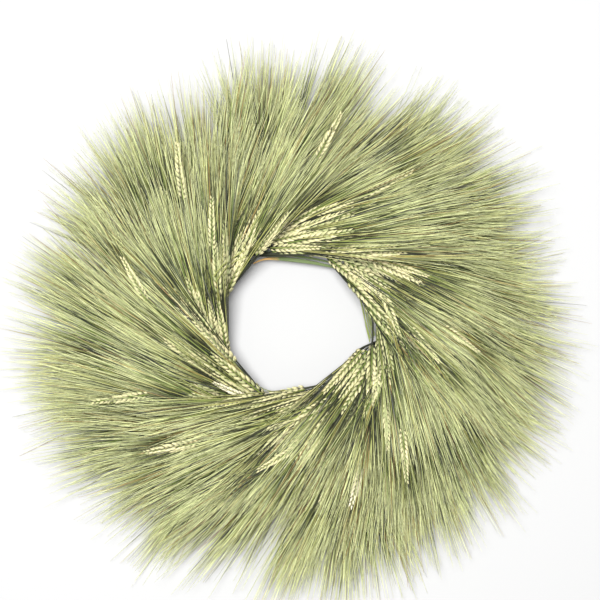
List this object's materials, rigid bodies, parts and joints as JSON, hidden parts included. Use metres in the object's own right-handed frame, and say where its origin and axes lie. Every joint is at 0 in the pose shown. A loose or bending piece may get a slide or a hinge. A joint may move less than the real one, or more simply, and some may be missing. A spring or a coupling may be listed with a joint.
{
  "type": "harvest door wreath",
  "caption": "Flat round wreath of long-awned wheat ears, tied in clockwise-swept bunches onto a wire ring frame with an open centre and a hanging loop.",
  "frame": {"origin": "on the axis of the frame's rings, in the plane that the crossbars rest on", "axes": "+Z out of the face, +Y towards the hanging loop, which is the top when the wreath hangs, +X to the right seen from the face"},
  "size_m": [0.5993, 0.5999, 0.0875],
  "materials": {
    "frame_wire": "dark green enamelled steel wire",
    "floral_wire": "green lacquered binding wire",
    "loop_wire": "bright galvanised wire",
    "wheat": "dried green-gold wheat, matt"
  },
  "bodies": {
    "wreath": {"front_inner_ring": "frame_wire", "back_inner_ring": "frame_wire", "back_outer_ring": "frame_wire", "front_outer_ring": "frame_wire", "crossbar_1": "frame_wire", "crossbar_2": "frame_wire", "crossbar_3": "frame_wire", "crossbar_4": "frame_wire", "crossbar_5": "frame_wire", "crossbar_6": "frame_wire", "binding_wire_1": "floral_wire", "binding_wire_2": "floral_wire", "binding_wire_3": "floral_wire", "binding_wire_4": "floral_wire", "binding_wire_5": "floral_wire", "binding_wire_6": "floral_wire", "binding_wire_7": "floral_wire", "binding_wire_8": "floral_wire", "inner_bunch_1": "wheat", "inner_bunch_2": "wheat", "inner_bunch_3": "wheat", "inner_bunch_4": "wheat", "inner_bunch_5": "wheat", "inner_bunch_6": "wheat", "inner_bunch_7": "wheat", "inner_bunch_8": "wheat", "outer_bunch_1": "wheat", "outer_bunch_2": "wheat", "outer_bunch_3": "wheat", "outer_bunch_4": "wheat", "outer_bunch_5": "wheat", "outer_bunch_6": "wheat", "outer_bunch_7": "wheat", "outer_bunch_8": "wheat", "middle_bunch_1": "wheat", "middle_bunch_2": "wheat", "middle_bunch_3": "wheat", "middle_bunch_4": "wheat", "middle_bunch_5": "wheat", "middle_bunch_6": "wheat", "middle_bunch_7": "wheat", "middle_bunch_8": "wheat"},
    "loop": {"hanging_loop": "loop_wire"}
  },
  "joints": [
    {"name": "hanging_loop_hinge", "type": "hinge", "parent": "wreath", "child": "loop", "pos_m": [0, 0.11576, 0.00345], "axis": [1, 0, 0], "range_deg": [-160, 0]}
  ]
}
